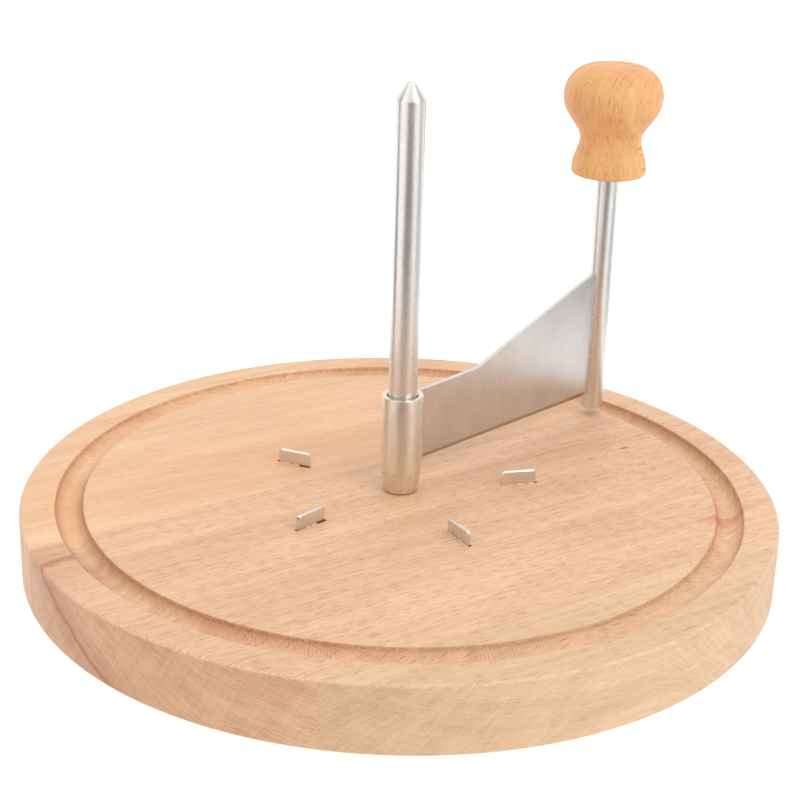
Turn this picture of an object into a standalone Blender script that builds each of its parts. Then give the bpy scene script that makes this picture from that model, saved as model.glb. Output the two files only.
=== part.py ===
"""Rotary cheese curler: a round grooved beech board with five holding prongs and a central spindle,
and a lift-off scraper (hub sleeve, blade, crank rod and turning knob) that swings round the spindle.

Units are metres, +Z is up. The origin is on the surface that the feet stand on, under the spindle's
axis. +Y points away from the front of the board.
"""

import math

import bmesh
import bpy
from mathutils import Matrix, Vector

MM = 0.001
GAP = 0.3 * MM  # left between pieces that touch
RUNNING_GAP = 0.15 * MM  # radial clearance of pieces that turn or slide on each other
MERGE = 0.01 * MM
OVERCUT = 5.0 * MM  # how far a cutter reaches past what it cuts

# Feet and their screws
FOOT_HEIGHT = 3.0 * MM
FOOT_RADIUS = 8.0 * MM
FOOT_TAPER = 0.8 * MM
FOOT_CIRCLE = 80.0 * MM
FOOT_POCKET_RADIUS = 3.6 * MM
FOOT_POCKET_DEPTH = 1.7 * MM
FOOT_SCREW_RADIUS = 1.4 * MM
FOOT_SCREW_HEAD = (2.9 * MM, 1.2 * MM)
FOOT_SCREW_LENGTH = 11.0 * MM
FOOT_SCREW_CHAMFER = 0.4 * MM

# Board: three staves glued edge to edge, turned to a disc with a round-bottomed groove
BOARD_RADIUS = 110.0 * MM
BOARD_THICKNESS = 20.0 * MM
BOARD_EDGE = 1.0 * MM
GROOVE_RADIUS = 96.0 * MM
GROOVE_WIDTH = 8.0 * MM
GROOVE_DEPTH = 3.0 * MM
GRAIN_AZIMUTH = math.radians(34.5)
BACK_JOINT = 18.5 * MM
FRONT_JOINT = -79.3 * MM
BOARD_BOTTOM = FOOT_HEIGHT
BOARD_TOP = BOARD_BOTTOM + BOARD_THICKNESS

# Prongs: small plates driven into the board round the spindle
PRONG_COUNT = 5
PRONG_FIRST_AZIMUTH = math.radians(10.0)
PRONG_TURNS = [math.radians(turn) for turn in (3.0, 0.0, 4.0, 0.5, 5.0)]  # how far each stands off radial
PRONG_CIRCLE = 35.7 * MM
PRONG_WIDTH = 10.5 * MM
PRONG_THICKNESS = 1.0 * MM
PRONG_HEIGHT = 4.3 * MM
PRONG_DEPTH = 9.0 * MM
PRONG_BEVEL = 0.3 * MM
PRONG_SLOT_EXTRA = 0.6 * MM  # the slots are longer than the prongs

# Spindle, with its screw and washer from below
SPINDLE_RADIUS = 4.2 * MM
SPINDLE_TIP = BOARD_TOP + 120.7 * MM
SPINDLE_CONE = 5.0 * MM
SPINDLE_TIP_RADIUS = 0.9 * MM
SPINDLE_SEAT = BOARD_BOTTOM + 8.0 * MM
SPINDLE_THREAD_DEPTH = 14.0 * MM
SCREW_RADIUS = 2.5 * MM
SCREW_HEAD = (4.6 * MM, 2.7 * MM)
SCREW_HEX_RADIUS = 1.7 * MM
SCREW_HEX_DEPTH = 1.6 * MM
SCREW_END_CHAMFER = 0.4 * MM
SCREW_HEAD_CHAMFER = 0.6 * MM
SCREW_LENGTH = 16.0 * MM
WASHER_RADIUS = 7.5 * MM
WASHER_THICKNESS = 1.2 * MM
COUNTERBORE_DEPTH = 4.5 * MM
COUNTERBORE_RADIUS = 8.5 * MM

# Scraper: hub sleeve and its liner
HUB_BOTTOM = BOARD_TOP + GAP
HUB_TOP = BOARD_TOP + 30.0 * MM
HUB_RADIUS = 6.1 * MM
HUB_NOSE_RADIUS = 4.95 * MM
HUB_NOSE_HEIGHT = 7.0 * MM
HUB_BORE_RADIUS = SPINDLE_RADIUS + 0.25 * MM
HUB_CHAMFER = 0.25 * MM
LINER_BOTTOM = BOARD_TOP + 8.8 * MM
LINER_TOP = BOARD_TOP + 27.7 * MM
LINER_WALL = 0.65 * MM
LINER_SLIT = 1.2 * MM

# Scraper: blade, a plate in a vertical plane through the hub's and the rod's axes
BLADE_AZIMUTH = math.radians(45.5)
BLADE_THICKNESS = 1.5 * MM
BLADE_BOTTOM = BOARD_TOP + 7.3 * MM
BLADE_HUB_TOP = BOARD_TOP + 29.7 * MM
BLADE_KNEE = (31.0 * MM, BOARD_TOP + 30.3 * MM)
BLADE_KNEE_ROUND = 14.0 * MM
BLADE_TOP = BOARD_TOP + 49.5 * MM
BLADE_CORNER_ROUND = 0.9 * MM
BLADE_NOTCH = (1.6 * MM, 2.0 * MM)
BLADE_GRIND_HEIGHT = 1.8 * MM
BLADE_GRIND_DEPTH = 1.1 * MM

# Scraper: crank rod, and the journal inside the knob
ROD_CIRCLE = 88.0 * MM
ROD_RADIUS = 3.6 * MM
ROD_BOTTOM = BOARD_TOP + 3.0 * MM
ROD_CHAMFER = 0.4 * MM
JOURNAL_RADIUS = 2.5 * MM
JOURNAL_END = 1.2 * MM  # left above the retaining ring's groove
RING_GROOVE_RADIUS = 2.0 * MM
KNOB_BOTTOM = BOARD_TOP + 80.8 * MM
ROD_SHOULDER = KNOB_BOTTOM + 0.8 * MM

# Knob, with its thrust washer, bush and retaining ring
KNOB_HEIGHT = 33.4 * MM
KNOB_BALL_RADIUS = 15.2 * MM
KNOB_NECK_RADIUS = 9.5 * MM
KNOB_BASE_RADIUS = 11.5 * MM
KNOB_BALL_LOW = 21.0 * MM  # heights above the knob's bottom where its slopes meet the vertical walls
KNOB_NECK_HIGH = 12.6 * MM
KNOB_NECK_LOW = 9.8 * MM
KNOB_BASE_HIGH = 3.5 * MM
KNOB_BALL_ROUND = 9.4 * MM  # radii of the curves at those places
KNOB_NECK_HIGH_ROUND = 6.0 * MM
KNOB_NECK_LOW_ROUND = 7.0 * MM
KNOB_BASE_ROUND = 8.0 * MM
KNOB_EDGE_ROUND = 0.9 * MM
KNOB_CROWN = 0.35 * MM
THRUST_WASHER_THICKNESS = 0.5 * MM
BUSH_LENGTH = 21.0 * MM
BUSH_RADIUS = 4.25 * MM
RING_THICKNESS = 0.5 * MM
RING_RADIUS = 3.7 * MM
RING_SLIT = 1.6 * MM

FINE_STEPS = 96  # round the board
ROUND_STEPS = 40  # round the turned pieces that fit each other
SMALL_STEPS = 24  # round the small hidden pieces
SCREW_STEPS = 16  # round the foot screws and their holes
GROOVE_STEPS = 6  # across the groove

parts = bpy.data.collections.new("cheese_curler")
cutters = bpy.data.collections.new("cutters")


# ---------------------------------------------------------------- helpers


def material(name, colour, roughness, metallic=0.0):
    made = bpy.data.materials.new(name)
    made.use_nodes = True
    shader = made.node_tree.nodes["Principled BSDF"]
    shader.inputs["Base Color"].default_value = (*colour, 1.0)
    shader.inputs["Roughness"].default_value = roughness
    shader.inputs["Metallic"].default_value = metallic
    return made


def add_part(obj, finish, parent=None):
    """Puts a new object among the parts, under a parent whose place it keeps its own place in."""
    parts.objects.link(obj)
    obj.data.materials.clear()
    obj.data.materials.append(finish)
    if parent is not None:
        obj.parent = parent
        obj.matrix_parent_inverse = parent.matrix_world.inverted()
    return obj


def add_cutter(obj):
    cutters.objects.link(obj)
    obj.hide_render = True
    obj.display_type = "WIRE"
    return obj


def cut(obj, cutter, operation="DIFFERENCE"):
    modifier = obj.modifiers.new(operation.lower(), "BOOLEAN")
    modifier.operation = operation
    modifier.solver = "EXACT"
    modifier.object = cutter


def rounded(corners, segments=5):
    """The outline through (x, y, radius) corners, each corner with a radius turned into an arc."""
    points = []
    count = len(corners)
    for index, (x, y, radius) in enumerate(corners):
        corner = Vector((x, y))
        if radius == 0.0:
            points.append(corner)
            continue
        before = Vector(corners[index - 1][:2]) - corner
        after = Vector(corners[(index + 1) % count][:2]) - corner
        before.normalize()
        after.normalize()
        half = before.angle(after) / 2
        centre = corner + (before + after).normalized() * (radius / math.sin(half))
        start = corner + before * (radius / math.tan(half)) - centre
        turn = start.angle_signed(corner + after * (radius / math.tan(half)) - centre)
        for step in range(segments + 1):
            angle = -turn * step / segments
            cosine, sine = math.cos(angle), math.sin(angle)
            offset = Vector((start.x * cosine - start.y * sine, start.x * sine + start.y * cosine))
            points.append(centre + offset)
    return points


def turned(name, outline, steps, closed=False):
    """A turned piece: its (radius, height) outline runs down the outer side, and screws round Z."""
    mesh = bpy.data.meshes.new(name)
    shape = bmesh.new()
    verts = [shape.verts.new((point[0], 0.0, point[1])) for point in outline]
    for first, second in zip(verts, verts[1:]):
        shape.edges.new((first, second))
    if closed:
        shape.edges.new((verts[-1], verts[0]))
    shape.to_mesh(mesh)
    shape.free()
    obj = bpy.data.objects.new(name, mesh)
    screw = obj.modifiers.new("turn", "SCREW")
    screw.axis = "Z"
    screw.angle = math.tau
    screw.steps = steps
    screw.render_steps = steps
    screw.use_merge_vertices = True
    screw.merge_threshold = MERGE
    screw.use_normal_calculate = False
    screw.use_smooth_shade = True
    return obj


def round_cutter(name, radius, low, high, x=0.0, y=0.0, steps=SMALL_STEPS):
    obj = turned(name, [(0, high), (radius, high), (radius, low), (0, low)], steps)
    obj.location = (x, y, 0.0)
    return add_cutter(obj)


def block(name, size, location=(0, 0, 0), turn=(0, 0, 0)):
    mesh = bpy.data.meshes.new(name)
    shape = bmesh.new()
    bmesh.ops.create_cube(shape, size=1.0, matrix=Matrix.Diagonal((*size, 1.0)))
    shape.to_mesh(mesh)
    shape.free()
    obj = bpy.data.objects.new(name, mesh)
    obj.location = location
    obj.rotation_euler = turn
    return obj


def plate(name, outline, thickness):
    """A flat outline in XY, filled and given its thickness about the plane, as a closed mesh."""
    curve = bpy.data.curves.new(name, "CURVE")
    curve.dimensions = "2D"
    curve.fill_mode = "BOTH"
    curve.extrude = thickness / 2
    spline = curve.splines.new("POLY")
    spline.points.add(len(outline) - 1)
    for point, place in zip(spline.points, outline):
        point.co = (place[0], place[1], 0.0, 1.0)
    spline.use_cyclic_u = True
    drawn = bpy.data.objects.new(name, curve)
    bpy.context.scene.collection.objects.link(drawn)
    bpy.context.view_layer.update()
    evaluated = drawn.evaluated_get(bpy.context.evaluated_depsgraph_get())
    mesh = bpy.data.meshes.new_from_object(evaluated)
    bpy.data.objects.remove(drawn)
    shape = bmesh.new()
    shape.from_mesh(mesh)
    bmesh.ops.remove_doubles(shape, verts=shape.verts, dist=MERGE)
    shape.to_mesh(mesh)
    shape.free()
    mesh.name = name
    return bpy.data.objects.new(name, mesh)


def pivot(name, location):
    empty = bpy.data.objects.new(name, None)
    empty.empty_display_size = 10 * MM
    empty.location = location
    parts.objects.link(empty)
    bpy.context.view_layer.update()
    return empty


def polar(radius, azimuth):
    return radius * math.cos(azimuth), radius * math.sin(azimuth)


# ---------------------------------------------------------------- the board and what is fixed to it


def foot_places():
    return [polar(FOOT_CIRCLE, GRAIN_AZIMUTH + math.radians(45 + 90 * index)) for index in range(4)]


def prong_places():
    """Each prong's centre on the board and the direction that it stands in."""
    places = []
    for index in range(PRONG_COUNT):
        azimuth = PRONG_FIRST_AZIMUTH + math.tau * index / PRONG_COUNT
        places.append((*polar(PRONG_CIRCLE, azimuth), azimuth + PRONG_TURNS[index]))
    return places


def board_outline():
    """The whole board's half section: top, groove, rim and underside."""
    arc_radius = ((GROOVE_WIDTH / 2) ** 2 + GROOVE_DEPTH**2) / (2 * GROOVE_DEPTH)
    arc_centre = BOARD_TOP - GROOVE_DEPTH + arc_radius
    spread = math.asin(GROOVE_WIDTH / 2 / arc_radius)
    outline = [Vector((0, BOARD_TOP))]
    for step in range(GROOVE_STEPS + 1):
        angle = -spread + 2 * spread * step / GROOVE_STEPS
        x = GROOVE_RADIUS + arc_radius * math.sin(angle)
        outline.append(Vector((x, arc_centre - arc_radius * math.cos(angle))))
    corners = [
        (GROOVE_RADIUS + GROOVE_WIDTH / 2, BOARD_TOP, 0.0),
        (BOARD_RADIUS, BOARD_TOP, BOARD_EDGE),
        (BOARD_RADIUS, BOARD_BOTTOM, BOARD_EDGE),
        (0, BOARD_BOTTOM, 0.0),
    ]
    return outline + rounded(corners, 2)[1:]


def board_hollows():
    """Cutters for the spindle's stepped hole, the prongs' slots and the foot screws' holes."""
    above = BOARD_TOP + OVERCUT
    below = BOARD_BOTTOM - OVERCUT
    hollows = [
        round_cutter("spindle_hole", SPINDLE_RADIUS + GAP, SPINDLE_SEAT, above, steps=ROUND_STEPS),
        round_cutter("screw_hole", SCREW_RADIUS + GAP, below, SPINDLE_SEAT + 1 * MM),
        round_cutter("counterbore", COUNTERBORE_RADIUS, below, BOARD_BOTTOM + COUNTERBORE_DEPTH),
    ]
    slot_length = PRONG_WIDTH + 2 * GAP + PRONG_SLOT_EXTRA
    slot_size = (slot_length, PRONG_THICKNESS + 2 * GAP, PRONG_DEPTH + GAP + OVERCUT)
    slot_height = above - slot_size[2] / 2
    for index, (x, y, azimuth) in enumerate(prong_places()):
        slot = block(f"prong_slot_{index + 1}", slot_size, (x, y, slot_height), (0, 0, azimuth))
        hollows.append(add_cutter(slot))
    hole_top = BOARD_BOTTOM + FOOT_SCREW_LENGTH
    for index, (x, y) in enumerate(foot_places()):
        name = f"foot_screw_hole_{index + 1}"
        hollows.append(round_cutter(name, FOOT_SCREW_RADIUS + GAP, below, hole_top, x, y, SCREW_STEPS))
    return hollows


def make_staves(finishes):
    """The disc is cut into three bands along the grain, with the glue line left between them."""
    joint = GAP / 2
    reach = BOARD_RADIUS + OVERCUT
    bands = {
        "board_stave_back": (BACK_JOINT + joint, reach),
        "board_stave_middle": (FRONT_JOINT + joint, BACK_JOINT - joint),
        "board_stave_front": (-reach, FRONT_JOINT - joint),
    }
    hollows = board_hollows()
    for name, (low, high) in bands.items():
        stave = turned(name, board_outline(), FINE_STEPS)
        add_part(stave, finishes[name])
        middle = (low + high) / 2
        place = (-middle * math.sin(GRAIN_AZIMUTH), middle * math.cos(GRAIN_AZIMUTH), BOARD_TOP)
        band = block(name + "_band", (3 * reach, high - low, 4 * BOARD_TOP), place, (0, 0, GRAIN_AZIMUTH))
        cut(stave, add_cutter(band), "INTERSECT")
        for hollow in hollows:
            x, y = hollow.location.x, hollow.location.y
            across = y * math.cos(GRAIN_AZIMUTH) - x * math.sin(GRAIN_AZIMUTH)
            if low < across < high:
                cut(stave, hollow)


def make_prongs(steel):
    height = PRONG_HEIGHT + PRONG_DEPTH
    for index, (x, y, azimuth) in enumerate(prong_places()):
        middle = BOARD_TOP + PRONG_HEIGHT - height / 2
        size = (PRONG_WIDTH, PRONG_THICKNESS, height)
        prong = block(f"cheese_prong_{index + 1}", size, (x, y, middle), (0, 0, azimuth))
        add_part(prong, steel)
        bevel = prong.modifiers.new("bevel", "BEVEL")
        bevel.width = PRONG_BEVEL
        bevel.segments = 1
        bevel.limit_method = "ANGLE"


def make_spindle(steel):
    seat = SPINDLE_SEAT + GAP
    thread_top = seat + SPINDLE_THREAD_DEPTH
    outline = [
        (0, SPINDLE_TIP),
        (SPINDLE_TIP_RADIUS, SPINDLE_TIP),
        (SPINDLE_RADIUS, SPINDLE_TIP - SPINDLE_CONE),
        (SPINDLE_RADIUS, seat),
        (SCREW_RADIUS + GAP, seat),
        (SCREW_RADIUS + GAP, thread_top),
        (0, thread_top + SCREW_RADIUS / 2),
    ]
    add_part(turned("spindle", outline, ROUND_STEPS), steel)


def make_spindle_screw(steel):
    """The washer sits up in the counterbore, and the screw's hex-socket head is under it."""
    washer_top = BOARD_BOTTOM + COUNTERBORE_DEPTH - GAP
    washer_bottom = washer_top - WASHER_THICKNESS
    hole = SCREW_RADIUS + GAP
    washer = [
        (WASHER_RADIUS, washer_top),
        (WASHER_RADIUS, washer_bottom),
        (hole, washer_bottom),
        (hole, washer_top),
    ]
    add_part(turned("spindle_washer", washer, SMALL_STEPS, closed=True), steel)
    head_radius, head_height = SCREW_HEAD
    head_top = washer_bottom - GAP
    screw = [
        (0, head_top + SCREW_LENGTH),
        (SCREW_RADIUS - SCREW_END_CHAMFER, head_top + SCREW_LENGTH),
        (SCREW_RADIUS, head_top + SCREW_LENGTH - SCREW_END_CHAMFER),
        (SCREW_RADIUS, head_top),
        (head_radius, head_top),
        (head_radius - SCREW_HEAD_CHAMFER, head_top - head_height),
        (0, head_top - head_height),
    ]
    spindle_screw = turned("spindle_screw", screw, SMALL_STEPS)
    add_part(spindle_screw, steel)
    socket_top = head_top - head_height + SCREW_HEX_DEPTH
    socket = round_cutter("hex_socket", SCREW_HEX_RADIUS, 0.0, socket_top, steps=6)
    cut(spindle_screw, socket)


def make_feet(rubber, steel):
    top = FOOT_HEIGHT - GAP
    hole = FOOT_SCREW_RADIUS + GAP
    pocket = FOOT_POCKET_DEPTH
    foot = [
        (FOOT_RADIUS, top),
        (FOOT_RADIUS - FOOT_TAPER, 0),
        (FOOT_POCKET_RADIUS, 0),
        (FOOT_POCKET_RADIUS, pocket),
        (hole, pocket),
        (hole, top),
    ]
    head_radius, head_height = FOOT_SCREW_HEAD
    head_top = pocket - GAP
    screw_top = BOARD_BOTTOM + FOOT_SCREW_LENGTH - GAP
    screw = [
        (0, screw_top),
        (FOOT_SCREW_RADIUS, screw_top - 2 * FOOT_SCREW_RADIUS),
        (FOOT_SCREW_RADIUS, head_top),
        (head_radius, head_top),
        (head_radius - FOOT_SCREW_CHAMFER, head_top - head_height),
        (0, head_top - head_height),
    ]
    for index, (x, y) in enumerate(foot_places()):
        rubber_foot = turned(f"foot_{index + 1}", foot, SMALL_STEPS, closed=True)
        foot_screw = turned(f"foot_screw_{index + 1}", screw, SCREW_STEPS)
        rubber_foot.location = (x, y, 0)
        foot_screw.location = (x, y, 0)
        add_part(rubber_foot, rubber)
        add_part(foot_screw, steel)


# ---------------------------------------------------------------- the scraper


def make_liner(nylon, lift):
    """A split nylon sleeve, sprung into the recess inside the hub: it slides on the spindle."""
    inner = SPINDLE_RADIUS + RUNNING_GAP
    outer = inner + LINER_WALL
    outline = [(outer, LINER_TOP), (outer, LINER_BOTTOM), (inner, LINER_BOTTOM), (inner, LINER_TOP)]
    liner = turned("hub_liner", outline, ROUND_STEPS, closed=True)
    add_part(liner, nylon, lift)
    slit_size = (2 * outer, LINER_SLIT, LINER_TOP - LINER_BOTTOM + OVERCUT)
    slit = block("liner_slit", slit_size, (-1.2 * outer, 0, (LINER_TOP + LINER_BOTTOM) / 2))
    cut(liner, add_cutter(slit))


def make_hub(steel, turn):
    recess = SPINDLE_RADIUS + RUNNING_GAP + LINER_WALL + RUNNING_GAP
    outline = [
        (HUB_RADIUS - HUB_CHAMFER, HUB_TOP),
        (HUB_RADIUS, HUB_TOP - HUB_CHAMFER),
        (HUB_RADIUS, HUB_BOTTOM + HUB_NOSE_HEIGHT),
        (HUB_NOSE_RADIUS, HUB_BOTTOM + HUB_CHAMFER),
        (HUB_NOSE_RADIUS - HUB_CHAMFER, HUB_BOTTOM),
        (HUB_BORE_RADIUS, HUB_BOTTOM),
        (HUB_BORE_RADIUS, LINER_BOTTOM - GAP),
        (recess, LINER_BOTTOM - GAP),
        (recess, LINER_TOP + GAP),
        (HUB_BORE_RADIUS, LINER_TOP + GAP),
        (HUB_BORE_RADIUS, HUB_TOP - HUB_CHAMFER),
        (HUB_BORE_RADIUS + HUB_CHAMFER, HUB_TOP),
    ]
    add_part(turned("hub_sleeve", outline, ROUND_STEPS, closed=True), steel, turn)


def make_blade(steel, turn):
    """Drawn in its own plane: x runs out from the spindle's axis, y is the height."""
    inner = HUB_RADIUS + GAP
    outer = ROD_CIRCLE - ROD_RADIUS - GAP
    notch_x, notch_y = BLADE_NOTCH
    corners = [
        (inner, BLADE_HUB_TOP, 0.0),
        (inner, BLADE_BOTTOM, 0.0),
        (outer - notch_x, BLADE_BOTTOM, 0.0),
        (outer, BLADE_BOTTOM + notch_y, 0.0),
        (outer, BLADE_TOP, BLADE_CORNER_ROUND),
        (*BLADE_KNEE, BLADE_KNEE_ROUND),
    ]
    blade = plate("blade", rounded(corners), BLADE_THICKNESS)
    placed = Matrix.Rotation(BLADE_AZIMUTH, 4, "Z") @ Matrix.Rotation(math.pi / 2, 4, "X")
    add_part(blade, steel, turn)
    bpy.context.view_layer.update()
    blade.matrix_world = placed
    # the ground edge: a block laid along the slope from the lower edge up to the front face
    slope = math.atan2(BLADE_GRIND_DEPTH, BLADE_GRIND_HEIGHT)
    thick = 4 * MM
    middle_y = BLADE_BOTTOM + BLADE_GRIND_HEIGHT / 2 - math.sin(slope) * thick / 2
    middle_z = BLADE_THICKNESS / 2 - BLADE_GRIND_DEPTH / 2 + math.cos(slope) * thick / 2
    grind = block("blade_grind", (2 * ROD_CIRCLE, 8 * MM, thick))
    local = Matrix.Translation((0, middle_y, middle_z)) @ Matrix.Rotation(slope, 4, "X")
    grind.matrix_world = placed @ local
    cut(blade, add_cutter(grind))


def journal_heights():
    """Heights of the pieces stacked on the rod's journal inside the knob."""
    washer_bottom = ROD_SHOULDER + GAP
    bush_bottom = washer_bottom + THRUST_WASHER_THICKNESS + GAP
    bush_top = bush_bottom + BUSH_LENGTH
    ring_bottom = bush_top + GAP
    journal_top = ring_bottom + RING_THICKNESS + GAP + JOURNAL_END
    return washer_bottom, bush_bottom, bush_top, ring_bottom, journal_top


def make_rod(steel, turn, axis):
    ring_bottom, journal_top = journal_heights()[3:]
    groove_low = ring_bottom - GAP
    groove_high = ring_bottom + RING_THICKNESS + GAP
    outline = [
        (0, journal_top),
        (JOURNAL_RADIUS - ROD_CHAMFER, journal_top),
        (JOURNAL_RADIUS, journal_top - ROD_CHAMFER),
        (JOURNAL_RADIUS, groove_high),
        (RING_GROOVE_RADIUS, groove_high),
        (RING_GROOVE_RADIUS, groove_low),
        (JOURNAL_RADIUS, groove_low),
        (JOURNAL_RADIUS, ROD_SHOULDER),
        (ROD_RADIUS, ROD_SHOULDER),
        (ROD_RADIUS, ROD_BOTTOM + ROD_CHAMFER),
        (ROD_RADIUS - ROD_CHAMFER, ROD_BOTTOM),
        (0, ROD_BOTTOM),
    ]
    rod = turned("crank_rod", outline, ROUND_STEPS)
    rod.location = axis
    add_part(rod, steel, turn)


def make_retaining_ring(spring_steel, turn, axis):
    ring_bottom = journal_heights()[3]
    inner = RING_GROOVE_RADIUS + GAP
    outline = [
        (RING_RADIUS, ring_bottom + RING_THICKNESS),
        (RING_RADIUS, ring_bottom),
        (inner, ring_bottom),
        (inner, ring_bottom + RING_THICKNESS),
    ]
    ring = turned("retaining_ring", outline, SMALL_STEPS, closed=True)
    ring.location = axis
    add_part(ring, spring_steel, turn)
    slit_size = (2 * RING_RADIUS, RING_SLIT, 4 * RING_THICKNESS)
    slit = block("ring_slit", slit_size, (axis[0] + 1.2 * RING_RADIUS, axis[1], ring_bottom))
    cut(ring, add_cutter(slit))


def make_knob_pieces(beech, bronze, steel, turn, spin, axis):
    washer_bottom, bush_bottom, bush_top, _, journal_top = journal_heights()
    washer_top = washer_bottom + THRUST_WASHER_THICKNESS
    hole = JOURNAL_RADIUS + GAP
    running = JOURNAL_RADIUS + RUNNING_GAP
    washer = [
        (BUSH_RADIUS, washer_top),
        (BUSH_RADIUS, washer_bottom),
        (hole, washer_bottom),
        (hole, washer_top),
    ]
    thrust_washer = turned("thrust_washer", washer, SMALL_STEPS, closed=True)
    thrust_washer.location = axis
    add_part(thrust_washer, steel, turn)
    bush = [
        (BUSH_RADIUS, bush_top),
        (BUSH_RADIUS, bush_bottom),
        (running, bush_bottom),
        (running, bush_top),
    ]
    knob_bush = turned("knob_bush", bush, ROUND_STEPS, closed=True)
    knob_bush.location = axis
    add_part(knob_bush, bronze, spin)
    bore = BUSH_RADIUS + GAP
    bore_top = journal_top + 2 * GAP
    top = KNOB_BOTTOM + KNOB_HEIGHT
    corners = [
        (0, top + KNOB_CROWN, 0.0),
        (KNOB_BALL_RADIUS, top, KNOB_BALL_ROUND),
        (KNOB_BALL_RADIUS, KNOB_BOTTOM + KNOB_BALL_LOW, KNOB_BALL_ROUND),
        (KNOB_NECK_RADIUS, KNOB_BOTTOM + KNOB_NECK_HIGH, KNOB_NECK_HIGH_ROUND),
        (KNOB_NECK_RADIUS, KNOB_BOTTOM + KNOB_NECK_LOW, KNOB_NECK_LOW_ROUND),
        (KNOB_BASE_RADIUS, KNOB_BOTTOM + KNOB_BASE_HIGH, KNOB_BASE_ROUND),
        (KNOB_BASE_RADIUS, KNOB_BOTTOM, KNOB_EDGE_ROUND),
        (bore, KNOB_BOTTOM, 0.0),
        (bore, bore_top, 0.0),
        (0, bore_top + bore / 2, 0.0),
    ]
    knob = turned("knob", rounded(corners), ROUND_STEPS)
    knob.location = axis
    add_part(knob, beech, spin)


# ---------------------------------------------------------------- assembly


def build():
    for obj in list(bpy.data.objects):
        bpy.data.objects.remove(obj, do_unlink=True)
    bpy.context.scene.collection.children.link(parts)
    bpy.context.scene.collection.children.link(cutters)

    staves = {
        "board_stave_back": material("beech_back", (0.83, 0.57, 0.38), 0.5),
        "board_stave_middle": material("beech_middle", (0.85, 0.62, 0.43), 0.5),
        "board_stave_front": material("beech_front", (0.86, 0.64, 0.42), 0.5),
    }
    beech = material("beech_knob", (0.84, 0.55, 0.31), 0.4)
    satin = material("satin_stainless", (0.72, 0.70, 0.67), 0.25, 1.0)
    brushed = material("brushed_stainless", (0.66, 0.64, 0.61), 0.35, 1.0)
    zinc = material("zinc_plated", (0.62, 0.62, 0.6), 0.4, 1.0)
    spring_steel = material("spring_steel", (0.25, 0.25, 0.26), 0.4, 1.0)
    bronze = material("bronze", (0.62, 0.42, 0.2), 0.4, 1.0)
    rubber = material("foot_rubber", (0.1, 0.1, 0.1), 0.8)
    nylon = material("nylon", (0.86, 0.85, 0.8), 0.5)

    make_staves(staves)
    make_prongs(brushed)
    make_spindle(satin)
    make_spindle_screw(zinc)
    make_feet(rubber, zinc)

    rod_x, rod_y = polar(ROD_CIRCLE, BLADE_AZIMUTH)
    rod_axis = (rod_x, rod_y, 0.0)
    lift = pivot("scraper_lift", (0, 0, HUB_BOTTOM))
    turn = pivot("scraper_turn", (0, 0, HUB_BOTTOM))
    turn.parent = lift
    turn.matrix_parent_inverse = lift.matrix_world.inverted()
    spin = pivot("knob_spin", (rod_x, rod_y, KNOB_BOTTOM))
    spin.parent = turn
    spin.matrix_parent_inverse = turn.matrix_world.inverted()
    bpy.context.view_layer.update()

    make_liner(nylon, lift)
    make_hub(satin, turn)
    make_blade(brushed, turn)
    make_rod(satin, turn, rod_axis)
    make_retaining_ring(spring_steel, turn, rod_axis)
    make_knob_pieces(beech, bronze, zinc, turn, spin, rod_axis)


build()
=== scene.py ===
"""Looks of the rotary cheese curler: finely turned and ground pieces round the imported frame, with
procedural beech and stainless steel. Lengths are in metres unless a name says mm.
"""

import random
from math import asin, atan2, cos, pi, radians, sin, tan, tau

import bmesh
import bpy
from mathutils import Euler, Matrix, Vector


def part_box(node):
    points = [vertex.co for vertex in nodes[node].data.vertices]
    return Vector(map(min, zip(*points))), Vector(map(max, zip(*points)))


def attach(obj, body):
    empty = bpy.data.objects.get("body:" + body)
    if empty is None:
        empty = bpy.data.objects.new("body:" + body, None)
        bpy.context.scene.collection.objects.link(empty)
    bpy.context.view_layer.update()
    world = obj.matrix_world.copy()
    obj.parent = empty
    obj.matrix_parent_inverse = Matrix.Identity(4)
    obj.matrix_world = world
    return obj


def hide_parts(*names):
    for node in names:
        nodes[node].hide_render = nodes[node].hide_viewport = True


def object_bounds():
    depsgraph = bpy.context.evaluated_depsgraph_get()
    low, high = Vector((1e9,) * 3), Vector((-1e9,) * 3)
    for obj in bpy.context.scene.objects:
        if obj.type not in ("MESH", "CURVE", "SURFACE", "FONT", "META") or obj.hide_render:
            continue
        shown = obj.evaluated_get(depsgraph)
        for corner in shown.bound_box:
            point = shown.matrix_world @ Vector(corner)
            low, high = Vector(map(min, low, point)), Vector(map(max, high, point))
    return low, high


MM = 0.001

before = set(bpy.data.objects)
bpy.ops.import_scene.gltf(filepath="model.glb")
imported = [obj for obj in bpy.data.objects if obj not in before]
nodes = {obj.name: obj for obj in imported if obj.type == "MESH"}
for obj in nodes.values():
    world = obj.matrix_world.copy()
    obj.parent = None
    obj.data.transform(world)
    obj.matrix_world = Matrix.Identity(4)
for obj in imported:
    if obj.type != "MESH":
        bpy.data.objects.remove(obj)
cad_low, cad_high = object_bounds()


# -------------------- places, read from the frame


def span(node, axis):
    """Lowest and highest place of a CAD node along an axis (0, 1 or 2)."""
    low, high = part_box(node)
    return low[axis], high[axis]


def centre(node):
    low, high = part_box(node)
    return (low + high) / 2


def radius_of(node):
    low, high = span(node, 0)
    return (high - low) / 2


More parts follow.
